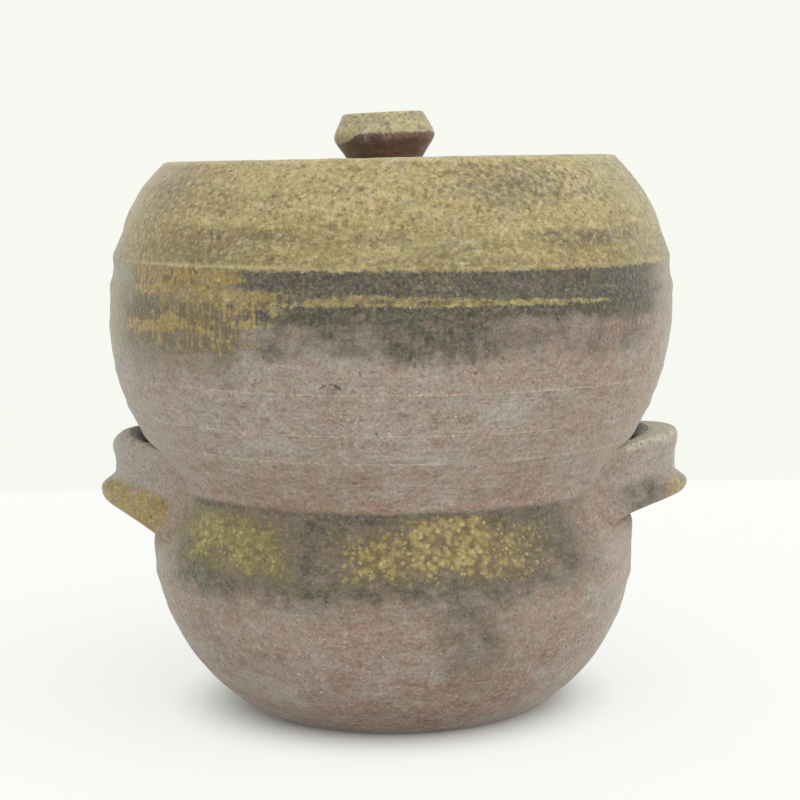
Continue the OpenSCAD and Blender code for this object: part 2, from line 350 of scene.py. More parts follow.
def lug_row(s, w, turns, rests):
    """Row of points round the strap at a share w of the way up it, and the marks at them."""
    low = 1 - smooth(w, s["lip_full"], s["lip_gone"])
    high = smooth(w, 0.55, 0.85)
    away = min(w, 1 - w) * (s["crest"] - s["low_tip"])
    cut = rounded(away, s["top_round"] if w > 0.5 else 3.5)
    inner_cut = rounded(away, 1.5)
    stand = s["face_r"] + s["lip"] * low + s["brow"] * high - float(wall_r(lug_height(s, w, 0.0)))
    hollow = (stand - STRAP - 0.75 * s["lip"] * low) * (1 - high) + s["slit"] * high + inner_cut
    far, near = LUG_HALF_W - 0.6 * cut, GAP_HALF_W + inner_cut
    v = far * turns
    spot = np.stack([40.0 * s["side"] + 0 * v, v, lug_height(s, w, v)], -1)
    lumps = 0.26 * noise(spot, 11, s["seed"]) + 0.14 * noise(spot, 4.5, s["seed"] + 2)
    outer = off_wall(s, w, v, (stand - cut + 0.45 + lumps) * lug_reach(v) - 0.45)
    rest_v = np.linspace(far - 0.8, near + 0.5, rests)
    sink = 0.7 * np.abs(turns) ** 6
    inner = off_wall(s, w, -near * turns, hollow * np.sqrt(np.maximum(0, 1 - turns ** 2)) - sink)
    row = [outer, off_wall(s, w, rest_v, -0.9), inner, off_wall(s, w, -rest_v[::-1], -0.9)]
    hidden, within = np.zeros(rests), np.ones(len(turns))
    shown = np.concatenate([smooth(lug_reach(v), 0.02, 0.3), hidden, within, hidden])
    marks = {
        "outside": np.ones(len(shown)), "lug": shown, "low_lip": (1 - smooth(w, 0.3, 0.46)) * shown,
        "high_lip": smooth(w, 0.84, 0.97) * shown,
        "hollow": np.concatenate([0 * v, hidden, within, hidden]),
    }
    return np.concatenate(row), marks


def lug(name, s):
    """Hollow strap lug over the waist, run out on to the wall; s holds its sizes."""
    levels = (1 - np.cos(np.linspace(0, math.pi, 46))) / 2
    turns = np.sin(np.linspace(-math.pi / 2, math.pi / 2, 61))
    rests = 6
    rows, marks = zip(*[lug_row(s, w, turns, rests) for w in levels])
    faces = strap_faces(len(rows), len(rows[0]), len(turns), rests)
    if s["side"] > 0:
        faces = [f[::-1] for f in faces]
    joined = {mark: np.concatenate([at_row[mark] for at_row in marks]) for mark in marks[0]}
    return make_piece(name, np.concatenate(rows), faces, joined, 60)


def lid_plate():
    """Lid with throwing lines round the knob's seat, a worn edge, and a flange underneath."""
    az = circle(360)
    flat_r = LID_R - LID_ROUND - 0.2
    rows = [axis_point(SEAT_Z)] + rings(az, [(r, SEAT_Z) for r in (4, 8, 12)])
    for r in np.linspace(SEAT_R, flat_r, 58):
        t = (r - SEAT_R) / (flat_r - SEAT_R)
        lines = 0.22 * math.sin(r / 1.55) * smooth(r, SEAT_R, 18)
        waves = 0.3 * math.cos(r / 5.2) * smooth(r, SEAT_R, 20) * (1 - smooth(r, 56, flat_r))
        rough = 0.14 * noise(round_points(az, 0, r), 7, 51) * smooth(t, 0, 0.05)
        rows.append(ring(az, r, SEAT_Z - 1.4 * t * t + lines + waves + rough))
    edge = round_points(az, 0, LID_R)
    worn = 0.22 * noise(edge, 9, 52) + 0.14 * noise(edge, 3, 53)
    for a in np.radians([65, 45, 25, 8]):
        r, z = LID_R + LID_ROUND * (math.cos(a) - 1), LID_EDGE_Z + LID_ROUND * (math.sin(a) - 1)
        rows.append(ring(az, r + 0.5 * worn, z + 0.3 * worn))
    rows += [ring(az, LID_R + 0.4 * worn, LID_EDGE_Z - 3), ring(az, LID_R - 0.1 + 0.3 * worn, LEDGE_Z + 0.7)]
    foot, deep = LEDGE_Z, LEDGE_Z - FLANGE_H
    inner_r = FLANGE_R - FLANGE_W
    below = [
        (LID_R - 0.8, foot), (60.0, foot), (FLANGE_R + 0.6, foot), (FLANGE_R, foot - 0.6),
        (FLANGE_R - 0.1, foot - 2.5), (FLANGE_R - 0.5, deep + 0.8), (FLANGE_R - 1.3, deep),
        (inner_r + 1.2, deep), (inner_r + 0.3, deep + 0.9), (inner_r, foot - 1.0),
    ]
    for r in np.linspace(inner_r - 1, 4, 22):
        below.append((r, foot - 0.25 + 0.35 * math.sin(r / 2.6) * (1 - smooth(r, 44, 48))))
    rows += rings(az, below) + [axis_point(foot)]
    return turned("lid_plate_clay", [row[::-1] for row in rows], [], len(az))


def knob_side(z):
    """Radius of the knob's side, where an undercut and a crown meet in a rounded ridge."""
    corner_r, corner_z, soft = KNOB_R + 0.7, KNOB_RIDGE_Z + 0.3, 0.87
    undercut = corner_r - 0.68 * (corner_z - z)
    crown = corner_r - 0.51 * (z - corner_z)
    return -soft * math.log(math.exp(-undercut / soft) + math.exp(-crown / soft))


def lid_knob():
    """Knob with a dished top, set on a little askew."""
    az = circle(192)
    top = KNOB_TOP_Z - 0.3
    outline = [(knob_side(z), z) for z in np.linspace(SEAT_Z - 0.15, top - 0.7, 40)]
    edge_r = knob_side(top)
    outline += [(edge_r + 0.1, top - 0.3), (edge_r - 0.4, top - 0.05), (edge_r - 1.2, top)]
    for r in np.linspace(11.2, 1.5, 12):
        outline.append((r, top - 1.5 * (1 - (r / 11.6) ** 2) + 0.15 * math.sin(r * 1.6)))
    rows = [axis_point(SEAT_Z - 0.15)]
    for r, z in outline:
        at = round_points(az, z, r)
        lines = 0.1 * noise(round_points(az, z, r, 10), 1.6, 63)
        out = (0.28 * noise(at, 14, 61) + 0.14 * noise(at, 4, 62) + lines) * smooth(r, 3, 9)
        rows.append(ring(az, r + out, z + 0.35 * out))
    rows.append(axis_point(top - 1.5))
    tilt = np.array(Matrix.Rotation(math.radians(-2.0), 3, "Y"))
    foot = np.array([0, 0, SEAT_Z])
    rows = [(row - foot) @ tilt.T + foot + [-0.15, 0, 0] for row in rows]
    return turned("lid_knob_clay", rows, [], len(az))


# Materials: heights and sizes are in mm, azimuths in degrees, and the other numbers are shares of 1


def empty_tree(owner):
    """Node tree of a material or a world, with nothing in it."""
    owner.use_nodes = True
    owner.node_tree.nodes.clear()
    return owner.node_tree


class Field:
    """A number that varies over a surface, as a shader socket. Sums and products add math nodes."""

    def __init__(self, tree, socket):
        self.tree = tree
        self.socket = socket

    def math(self, operation, *values, clamp=False):
        node = self.tree.nodes.new("ShaderNodeMath")
        node.operation = operation
        node.use_clamp = clamp
        for slot, value in zip(node.inputs, values):
            if isinstance(value, Field):
                self.tree.links.new(value.socket, slot)
            else:
                slot.default_value = value
        return Field(self.tree, node.outputs[0])

    def __add__(self, other):
        return self.math("ADD", self, other)

    __radd__ = __add__

    def __sub__(self, other):
        return self.math("SUBTRACT", self, other)

    def __rsub__(self, other):
        return self.math("SUBTRACT", other, self)

    def __mul__(self, other):
        return self.math("MULTIPLY", self, other)

    __rmul__ = __mul__

    def max(self, other):
        return self.math("MAXIMUM", self, other)

    def abs(self):
        return self.math("ABSOLUTE", self)

    def clamp(self):
        return self.math("ADD", self, 0.0, clamp=True)

    def step(self, low, high):
        """0 below low and 1 above high, or the other way round where low is the larger."""
        node = self.tree.nodes.new("ShaderNodeMapRange")
        node.interpolation_type = "SMOOTHSTEP"
        self.tree.links.new(self.socket, node.inputs["Value"])
        node.inputs["From Min"].default_value = low
        node.inputs["From Max"].default_value = high
        return Field(self.tree, node.outputs["Result"])

    def band(self, low, high, soft):
        """1 between low and high, with edges that are soft wide on each side."""
        return self.step(low - soft, low + soft) * self.step(high + soft, high - soft)


def highest(fields):
    """The largest of some fields at each place."""
    return functools.reduce(Field.max, fields)


class Clay:
    """A procedural material, with fields for place and noise, and colours that are mixed by fields."""

    def __init__(self, name):
        self.material = bpy.data.materials.new(name)
        self.tree = empty_tree(self.material)
        place = self.node("TexCoord")
        scale = self.node("VectorMath")
        scale.operation = "SCALE"
        scale.inputs["Scale"].default_value = 1000.0
        self.link(place.outputs["Object"], scale.inputs[0])
        self.point = scale.outputs[0]
        parts = self.node("SeparateXYZ")
        self.link(self.point, parts.inputs[0])
        self.x, self.y, self.z = [Field(self.tree, part) for part in parts.outputs]
        self.azimuth = self.x.math("ARCTAN2", self.x, self.y * -1.0) * (180 / math.pi)
        self.radius = self.x.math("SQRT", self.x * self.x + self.y * self.y)

    def node(self, kind):
        return self.tree.nodes.new("ShaderNode" + kind)

    def link(self, source, slot):
        self.tree.links.new(source, slot)

    def mark(self, name):
        """Number kept at the mesh's points, 0 on a mesh without it."""
        node = self.node("Attribute")
        node.attribute_name = name
        return Field(self.tree, node.outputs["Fac"])

    def place(self, size, seed, drawn):
        """Coordinates in which a size in mm is 1; drawn over 1 draws features out sideways."""
        node = self.node("Mapping")
        node.inputs["Scale"].default_value = (1 / (size * drawn), 1 / (size * drawn), 1 / size)
        node.inputs["Location"].default_value = (seed * 3.7, seed * 1.9, seed * 5.3)
        self.link(self.point, node.inputs["Vector"])
        return node.outputs[0]

    def noise(self, size, seed, detail=2.0, drawn=1.0):
        """Noise of about -1 to 1 with features of a size in mm."""
        node = self.node("TexNoise")
        node.inputs["Scale"].default_value = 1.0
        node.inputs["Detail"].default_value = detail
        node.inputs["Roughness"].default_value = 0.58
        self.link(self.place(size, seed, drawn), node.inputs["Vector"])
        return (Field(self.tree, node.outputs[0]) - 0.5) * 3.6

    def pebbles(self, size, seed, load, soft=0.14):
        """Rounded grains of a size in mm, larger where load is higher, and none where it is 0."""
        node = self.node("TexVoronoi")
        node.inputs["Scale"].default_value = 1.0
        self.link(self.place(size, seed, 1.0), node.inputs["Vector"])
        away = Field(self.tree, node.outputs["Distance"])
        grains = (load - away + 0.16 * self.noise(0.45 * size, seed + 1, 1.0)).step(-soft, soft)
        return grains * load.step(0.0, 0.06)

    def mix(self, below, above, amount):
        """Colour above laid over colour below by a field."""
        node = self.node("Mix")
        node.data_type = "RGBA"
        sockets = [s for s in node.inputs if s.type == "RGBA"]
        for slot, value in zip(sockets, (below, above)):
            if isinstance(value, tuple):
                slot.default_value = (*value, 1.0)
            else:
                self.link(value, slot)
        self.link(amount.clamp().socket, node.inputs[0])
        return next(s for s in node.outputs if s.type == "RGBA")

    def spots(self, colour, tint, size, seed, share, drawn, amount):
        """Colour with soft spots of a tint; share from -0.5 to 0.5 makes them fewer or more."""
        spread = ((self.noise(size, seed, 2.0, drawn) + share) * 1.3).clamp()
        return self.mix(colour, tint, spread * amount)

    def mottle(self, colour, table):
        """Colour with the soft spots of a table laid over it one after another."""
        for tint, size, seed, share, drawn, amount in table:
            colour = self.spots(colour, tint, size, seed, share, drawn, amount)
        return colour

    def shade(self, colour, factor):
        """Colour made lighter or darker by a field."""
        node = self.node("VectorMath")
        node.operation = "SCALE"
        self.link(colour, node.inputs[0])
        self.link(factor.socket, node.inputs["Scale"])
        return node.outputs[0]

    def finish(self, colour, rough, height, depth):
        """Ends the material: base colour, roughness, and a height field for fine relief, its depth in mm."""
        shader = self.node("BsdfPrincipled")
        output = self.node("OutputMaterial")
        bump = self.node("Bump")
        bump.inputs["Distance"].default_value = depth / 1000
        self.link(height.socket, bump.inputs["Height"])
        self.link(colour, shader.inputs["Base Color"])
        self.link(rough.socket, shader.inputs["Roughness"])
        self.link(bump.outputs[0], shader.inputs["Normal"])
        shader.inputs["Specular IOR Level"].default_value = 0.4
        shader.inputs["Sheen Weight"].default_value = 0.75
        shader.inputs["Sheen Roughness"].default_value = 0.3
        shader.inputs["Sheen Tint"].default_value = (1.0, 0.985, 0.91, 1.0)
        self.link(shader.outputs[0], output.inputs["Surface"])
        return self.material


# Bare clay, smoked clay, and ash, each from dark to pale
UMBER, BROWN, RUST = (0.105, 0.068, 0.05), (0.192, 0.098, 0.07), (0.30, 0.185, 0.125)
MAUVE, ROSE, PINK = (0.285, 0.222, 0.175), (0.34, 0.205, 0.165), (0.335, 0.235, 0.18)
SAGE, LILAC, CREAM = (0.30, 0.285, 0.21), (0.385, 0.342, 0.305), (0.60, 0.53, 0.42)
SOOT, SLATE, BLUE_SLATE = (0.035, 0.03, 0.024), (0.058, 0.052, 0.037), (0.078, 0.09, 0.084)
PLUM, MOSS, TAUPE = (0.13, 0.088, 0.086), (0.125, 0.118, 0.052), (0.225, 0.185, 0.13)
BARK, OLIVE, OCHRE = (0.13, 0.095, 0.055), (0.17, 0.135, 0.052), (0.31, 0.21, 0.065)
GREEN, AMBER, KHAKI = (0.30, 0.28, 0.10), (0.40, 0.27, 0.12), (0.40, 0.33, 0.15)
YELLOW, MIST, STRAW = (0.43, 0.345, 0.13), (0.42, 0.40, 0.29), (0.57, 0.495, 0.27)

# Soft spots of other hues: tint, size in mm, seed, share, how far drawn out sideways, and strength
CLAY_SPOTS = [
    (LILAC, 13, 41, 0.1, 2.0, 0.6), (SAGE, 9, 42, 0.0, 2.5, 0.5), (RUST, 8, 43, -0.05, 2.0, 0.55),
    (LILAC, 3.6, 44, 0.05, 1.5, 0.55), (ROSE, 4.2, 45, 0.0, 1.5, 0.5), (SAGE, 3.4, 46, -0.1, 1.5, 0.5),
    (BROWN, 2.4, 47, -0.1, 3.0, 0.5), (LILAC, 1.3, 48, 0.0, 1.4, 0.55), (UMBER, 1.1, 49, -0.2, 1.4, 0.5),
]
SMOKE_SPOTS = [
    (PLUM, 4.5, 55, 0.05, 1.4, 0.75), (BLUE_SLATE, 4.0, 57, 0.0, 1.4, 0.8), (MOSS, 3.0, 51, 0.05, 1.4, 0.7),
    (TAUPE, 3.4, 52, -0.15, 1.5, 0.5), (MOSS, 1.5, 56, 0.0, 1.1, 0.75), (TAUPE, 1.2, 53, 0.0, 1.0, 0.8),
    (SOOT, 1.3, 54, 0.1, 1.0, 0.8),
]
ASH_SPOTS = [
    (STRAW, 9, 61, 0.05, 4.0, 0.5), (OLIVE, 3.2, 62, 0.0, 7.0, 0.6), (LILAC, 5.5, 66, -0.15, 1.6, 0.45),
    (AMBER, 6, 67, -0.1, 1.8, 0.6), (GREEN, 4.5, 68, 0.0, 1.6, 0.65), (BARK, 3.0, 63, -0.15, 1.4, 0.6),
    (OLIVE, 1.7, 64, -0.05, 1.3, 0.6), (STRAW, 1.6, 65, -0.05, 1.3, 0.6),
]

# Pale blooms on the globe: azimuth, height, and half widths in degrees and mm
BLOOMS = [(10, 93, 5, 3.5), (24, 107, 6, 4), (24, 85, 4, 3), (1, 84, 5, 4), (-24, 97, 7, 3)]

# Heights of the ridges that have a pale thread all round
THREADS = [113.0, 100.5, 91.6]


class JarClay(Clay):
    """The jar's clay, with noises of many sizes and with places on its wall that have soft edges."""

    def __init__(self, name):
        super().__init__(name)
        self.broad, self.mid, self.small = self.noise(45, 1), self.noise(17, 2), self.noise(6, 3)
        self.grain, self.fine, self.dust = self.noise(2.4, 4), self.noise(1.1, 5), self.noise(0.6, 6, 1)
        self.streak, self.thread = self.noise(3.2, 7, drawn=7), self.noise(0.9, 8, drawn=12)
        self.teeth = self.noise(5, 9, drawn=0.25)
        self.outside, self.lug = self.mark("outside"), self.mark("lug")
        self.low_lip, self.high_lip = self.mark("low_lip"), self.mark("high_lip")
        # The hollow mark is where the lugs' hollows get painted shade
        self.hollow = self.mark("hollow").step(0.88, 1.0)
        self.left = self.x.step(20, -20)
        self.wall = self.outside * (1.0 - self.lug)
        self.level = self.z + FALL * self.x
        self.az = self.azimuth + 2.5 * self.small + 1.5 * self.grain
        self.high = self.level + 0.4 * self.small + 0.6 * self.teeth + 0.35 * self.fine
        self.soft_az = self.az + 4.5 * self.mid
        self.soft_high = self.high + 1.6 * self.mid + 1.2 * self.small
        self.back = (self.azimuth.abs() + 9.0 * self.mid).step(98, 118)
        self.slant = self.high + 0.05 * self.azimuth * (1.0 - self.back)
        self.waist = self.level + 0.4 * self.small + 0.35 * self.grain
        around = self.soft_az.band(-62, 51, 11).max(self.back * (0.4 + 0.8 * self.broad))
        uneven = 0.8 + 0.3 * self.small + 0.25 * self.grain
        self.waist_smoke = self.waist.step(76.4, 74.4) * around * uneven

    def side(self, low, high):
        """Step from one azimuth to another across the front, which fades out at the back."""
        return self.soft_az.step(low, high) * (1.0 - self.back)

    def spot(self, middle_az, middle_z, half_az, half_z):
        """Soft spot on the wall, 1 in its middle."""
        across = (self.az - middle_az) * (1 / half_az)
        up = (self.high - middle_z) * (1 / half_z)
        return (across * across + up * up).step(1.5, 0.1)


def bare_clay(c):
    """Clay without ash, redder at the waist and at the right, and darker at the foot."""
    colour = c.mix(MAUVE, PINK, 0.45 + 0.5 * c.mid + 0.2 * c.streak)
    pale = (0.46 + 0.5 * c.broad) * c.side(60, 5) * c.level.step(78, 96)
    colour = c.mix(colour, LILAC, pale)
    reds = c.soft_az.band(38, 88, 16) * c.level.band(82, 134, 6)
    reds = reds.max(c.level.band(75, 90, 3) * c.soft_az.band(-48, 40, 10))
    colour = c.mix(colour, RUST, reds * (0.45 + 0.4 * c.mid))
    colour = c.mix(colour, BROWN, c.level.step(46, 0) * (1.1 + 0.4 * c.mid))
    colour = c.mottle(colour, CLAY_SPOTS)
    colour = c.mix(colour, UMBER, (c.level + 2.0 * c.mid).step(12, 1) * (0.4 + 0.2 * c.small))
    bloom = highest(c.spot(*place) for place in BLOOMS)
    colour = c.mix(colour, LILAC, bloom * (0.5 + 0.3 * c.grain) * c.wall)
    colour = c.mix(colour, LILAC, c.lug * (0.45 + 0.3 * c.small))
    return c.mix(colour, UMBER, 0.35 * (1.0 - c.outside))


def smoke_tone(c):
    """Colour of the smoke, greener at the right and browner at the left of the waist; at the far left it is
    pale grey-green, a painted haze of light over the dark smoke.
    """
    tone = c.mix(SLATE, BLUE_SLATE, 0.15 + 0.5 * c.mid + 0.4 * c.small + 0.25 * c.side(10, 50))
    tone = c.mix(tone, MOSS, 0.6 * c.side(56, 70))
    tone = c.mix(tone, BARK, 0.7 * c.level.band(73, 77, 1.5) * c.soft_az.band(-52, -22, 6))
    tone = c.mottle(tone, SMOKE_SPOTS)
    # Pale grey-green at the far left: painted haze of light on the dark smoke near the jar's left edge
    return c.mix(tone, c.mix(SAGE, GREEN, 0.65 + 0.3 * c.small), 0.75 * c.side(-54, -68))


def globe_smoke(c, colour):
    """Smoke on the globe: two bands round it, a cloud and wisps below them, and a brown veil at the left."""
    upper = c.high.step(149.2, 148.2) * c.slant.step(141.0, 142.6)
    upper = upper * (c.az.step(-40, -28) * c.azimuth.step(72, 57)).max(c.back * (0.5 + 0.9 * c.broad))
    hang = 0.8 * c.soft_az.band(-34, 6, 6) - 1.0 * c.soft_az.band(20, 38, 5)
    lower = (c.high + hang + 1.4 * c.small + 0.8 * c.grain).step(130.8, 135.6) * c.high.step(144.4, 143.0)
    lower = lower * (c.soft_az.band(-34, 64, 7)).max(c.back * (0.4 + 0.9 * c.mid))
    cloud = c.spot(9, 130, 15, 8.5) * (1.0 + 0.5 * c.small + 0.35 * c.teeth + 0.25 * c.grain)
    wisps = c.soft_high.band(124, 135, 4) * c.soft_az.band(-26, 60, 9)
    colour = c.mix(colour, PLUM, wisps * c.wall * (0.3 + 0.2 * c.mid))
    wisps = wisps * (0.35 + 0.4 * c.azimuth.step(12, -4) + 0.7 * c.small + 0.5 * c.streak)
    # Smoke at the far left, which smoke_tone paints pale as a haze of light
    far_left = c.soft_high.band(120, 150, 4) * c.soft_az.band(-86, -56, 7)
    far_left = far_left * (0.65 + 0.3 * c.streak + 0.2 * c.small)
    flank = (c.high + 1.5 * c.teeth).band(116, 152, 5) * c.soft_az.band(-64, -29, 5)
    flank = flank * (0.5 + 0.45 * c.level.step(120, 128) + 0.2 * c.streak + 0.25 * c.small)
    smoke = highest([upper, lower, cloud * 0.9, wisps * 0.6, far_left * 0.85, flank, c.waist_smoke]) * c.wall
    brown = c.mix(c.mix(BARK, OLIVE, 0.5 + 0.6 * c.small), TAUPE, c.level.step(126, 116))
    veil = c.side(-24, -36) * c.side(-70, -56) * c.level.step(96, 112) * (0.85 + 0.2 * c.grain)
    tone = c.mix(smoke_tone(c), brown, veil)
    return c.mix(colour, tone, smoke * (0.95 + 0.25 * c.fine)), smoke.clamp()


def bowl_smoke(c, colour):
    """Smoke in a band on the bowl's shoulder, with a drip below it."""
    hang = 3.5 * c.side(-22, -44) + 3.5 * c.soft_az.band(-28, 32, 8)
    band = c.waist_smoke * (c.soft_high + 2.0 * c.small + hang).step(44, 58)
    drip = (c.soft_az + 0.14 * c.level).band(16, 30, 6) * c.level.step(14, 38) * c.level.step(60, 50)
    drip = drip * (0.7 + 0.4 * c.small + 0.3 * c.grain)
    smoke = band.max(drip * 0.9) * c.wall
    return c.mix(colour, smoke_tone(c), smoke * (0.95 + 0.25 * c.fine)), smoke.clamp()


def lug_ash(c, colour):
    """Ash on the lugs' low lips, pale upper lips, and painted shade in the hollows."""
    films = c.low_lip * (0.65 + 0.4 * c.small + 0.2 * c.grain)
    films = films * (c.left + (1.0 - c.left) * c.z.step(77, 72) * c.y.abs().step(22, 12))
    films = films.clamp()
    film = c.mix(KHAKI, OCHRE, 0.77 + 0.48 * c.mid + 0.45 * c.left)
    film = c.mottle(c.mix(film, OLIVE, 0.25 + 0.1 * c.small), ASH_SPOTS)
    film = c.mix(film, OCHRE, c.left * (0.3 + 0.2 * c.small))
    colour = c.mix(colour, film, films.step(0.1, 0.7) * 0.95)
    smudge = c.low_lip * (1.0 - c.left) * c.y.abs().band(16, 28, 5) * (0.5 + 0.4 * c.small + 0.3 * c.grain)
    colour = c.mix(colour, SLATE, smudge)
    lip = c.mix(c.mix(MIST, CREAM, 0.5 + 0.5 * c.small), SAGE, 0.8 * c.left)
    colour = c.mix(colour, lip, c.high_lip * (0.9 - 0.3 * c.left + 0.4 * c.grain))
    # Near-black in the lugs' hollows: painted shade inside the slits under the lugs' tops
    colour = c.mix(colour, SOOT, c.hollow * 0.9)
    grains = c.pebbles(2.0, 13, films * (0.4 + 0.1 * c.small))
    colour = c.mix(colour, c.mix(YELLOW, STRAW, 0.2 + 0.3 * c.mid + 0.3 * c.fine), grains * 0.27)
    crumbs = c.pebbles(2.2, 15, (films * (0.15 + 0.06 * c.mid)).max(c.high_lip * 0.3))
    return c.mix(colour, BARK, crumbs * 0.55), films, grains - 0.8 * crumbs


def ash_line(c):
    """Ash on the ridge between the smoke bands."""
    line = c.high.step(138.0, 139.2) * c.slant.step(142.4, 141.0)
    cover = 0.45 + 0.3 * c.azimuth.step(4, 16) + 0.4 * c.azimuth.step(-18, -30)
    cover = cover + 0.4 * c.streak + 0.45 * c.grain
    return line * (c.soft_az.band(-44, 42, 5) * cover).max(c.back * 0.5)


def ash_flank(c):
    """Ash that ran down the left flank in streaks."""
    bright = c.high.step(138, 140.6).max(c.high.band(129, 132.6, 0.8) * c.az.band(-64, -40, 4))
    reach = c.soft_az - 6.0 * c.level.step(144, 136) * c.level.step(122, 130) - 3.0 * c.streak
    flank = (c.high + 1.6 * c.teeth).band(125, 152, 2.5) * c.soft_az.step(-65, -55) * reach.step(-22, -34)
    flank = flank * (0.32 + 0.45 * bright + 0.55 * c.streak + 0.7 * c.teeth + 0.6 * c.grain)
    return flank - 0.6 * c.spot(-56, 136, 7, 4.5)


def film_tone(c, shoulder, line, flank, dull):
    """Colour of the ash film, browner where it is dull and at the left, with painted shade in a groove and
    below the shoulder's ridges.
    """
    warmth = (0.25 + 0.35 * c.level.step(168, 150)) * (0.7 + 0.8 * c.mid) + 0.35 * (1.0 - shoulder)
    warmth = warmth + 0.45 * c.side(-5, -40) + 0.4 * flank.clamp()
    olive = 0.25 * (1.0 - shoulder) + 0.35 * line + 0.35 * c.side(-12, -45) * shoulder
    film = c.mix(c.mix(KHAKI, OCHRE, warmth), OLIVE, olive)
    film = c.mix(film, OLIVE, c.level.step(166, 152) * shoulder * (0.45 + 0.5 * c.streak))
    film = c.mix(film, TAUPE, dull * (0.55 + 0.4 * c.small))
    # Dark brown in the groove on the shoulder: painted shade of the groove
    groove = c.level.band(155.4, 160.2, 1.4)
    groove = groove * (c.soft_az.band(-46, -16, 10)).max(c.soft_az.band(27, 57, 5)) * shoulder
    film = c.mix(film, BARK, groove * (0.7 + 0.4 * c.streak + 0.3 * c.small))
    film = c.mix(c.mottle(film, ASH_SPOTS), OCHRE, 0.5 * flank.clamp() * (1.0 - shoulder))
    film = c.mix(film, c.mix(KHAKI, STRAW, 0.4 + 0.5 * c.grain), 0.5 * c.spot(-26, 176, 17, 6))
    # Dark spots along the shoulder's grooves and ridges: painted shade
    painted_shoulder_shade = c.spot(-54, 153, 28, 5).max(c.spot(1, 155.5, 10, 4.5)).max(c.spot(26, 166, 11, 4) * 0.6)
    film = c.mix(film, c.mix(BARK, OLIVE, 0.5 + 0.5 * c.small), painted_shoulder_shade * (0.42 + 0.25 * c.streak))
    return c.mix(film, OCHRE, c.side(-30, -58) * (0.3 + 0.2 * c.small))


def shoulder_ash(c, colour):
    """Ash on the shoulder and below it: a film with painted shade in its grooves, pale grains and dark
    crumbs, a pale rim, and a painted highlight along the crest.
    """
    shoulder = c.high.step(148.3, 149.2)
    line, flank = ash_line(c), ash_flank(c)
    films = shoulder.max(line).max(flank).clamp() * c.wall
    dull = c.spot(-57, 170, 10, 9).max(c.spot(27, 174, 17, 7)).max(c.spot(50, 171, 9, 3) * 0.5) * shoulder
    film = film_tone(c, shoulder, line, flank, dull)
    colour = c.mix(colour, film, films.step(0.1, 0.7) * 0.95)
    bright = c.mix(YELLOW, STRAW, 0.2 + 0.5 * shoulder + 0.3 * c.mid + 0.3 * c.fine)
    strewn = c.spot(8, 145, 8, 5) * 0.3 * c.wall
    coarse = 0.6 + 0.4 * (c.level + 3.0 * c.mid).step(156, 168)
    grains = c.pebbles(2.0, 13, (films * (0.4 + 0.1 * c.small - 0.12 * dull)).max(strewn))
    colour = c.mix(colour, bright, grains * 0.45 * coarse)
    load = films * (0.24 + 0.2 * dull + 0.1 * c.mid) * coarse
    load = load.max(c.spot(13, 124, 17, 4) * 0.3 * c.wall)
    crumbs = c.pebbles(2.2, 15, load)
    colour = c.mix(colour, BARK, crumbs * 0.55)
    # Pale straw band along the ridge under the shoulder: a painted highlight on the crest
    crest = (c.level + 0.3 * c.fine).band(149.2, 150.2, 0.5)
    crest = crest * (0.4 + 0.5 * c.small + 0.6 * c.az.band(-58, -16, 6)) * c.wall
    colour = c.mix(colour, STRAW, crest * 0.5)
    rim = (c.z + 0.3 * c.grain).step(179.4, 181.0) * c.outside
    colour = c.mix(colour, STRAW, rim * (0.5 + 0.4 * c.small))
    return colour, films, grains - 0.8 * crumbs


def bowl_ash(c, colour):
    """Grains of ash on the bowl's shoulder, in two patches at the front and some at the back."""
    on_bowl = c.waist.step(74.6, 72.8) * c.wall
    left = (c.soft_high + 0.14 * c.azimuth).band(52, 66, 5) * c.soft_az.band(-58, -26, 8) * on_bowl
    core = c.soft_high.band(57, 76, 4) * c.soft_az.band(3, 25, 5)
    tail = c.soft_high.band(56, 70, 4) * c.soft_az.band(-12, 35, 8)
    far = c.soft_high.band(54, 72, 5) * c.back * (0.3 + 1.0 * c.mid)
    load = core.max(tail * 0.74).max(far) * on_bowl
    film = c.mix(c.mix(BARK, OLIVE, 0.5 + 0.6 * c.small), OCHRE, 0.15 + 0.5 * c.grain)
    colour = c.mix(colour, film, load.max(left) * (0.75 + 0.4 * c.small))
    colour = c.mix(colour, GREEN, left * (0.4 + 0.5 * c.small + 0.5 * c.grain))
    blobs = c.pebbles(2.7, 14, load.max(left * 0.6) * (0.52 + 0.15 * c.small), 0.3)
    colour = c.mix(colour, c.mix(YELLOW, OCHRE, 0.3 + 0.5 * c.fine), blobs * 0.75)
    glints = c.pebbles(2.0, 19, load.max(left * 0.7) * (0.36 + 0.08 * c.small), 0.16)
    pale = c.mix(YELLOW, STRAW, 0.5 + 0.5 * c.grain)
    return c.mix(colour, pale, glints * 0.6), blobs + 0.3 * glints


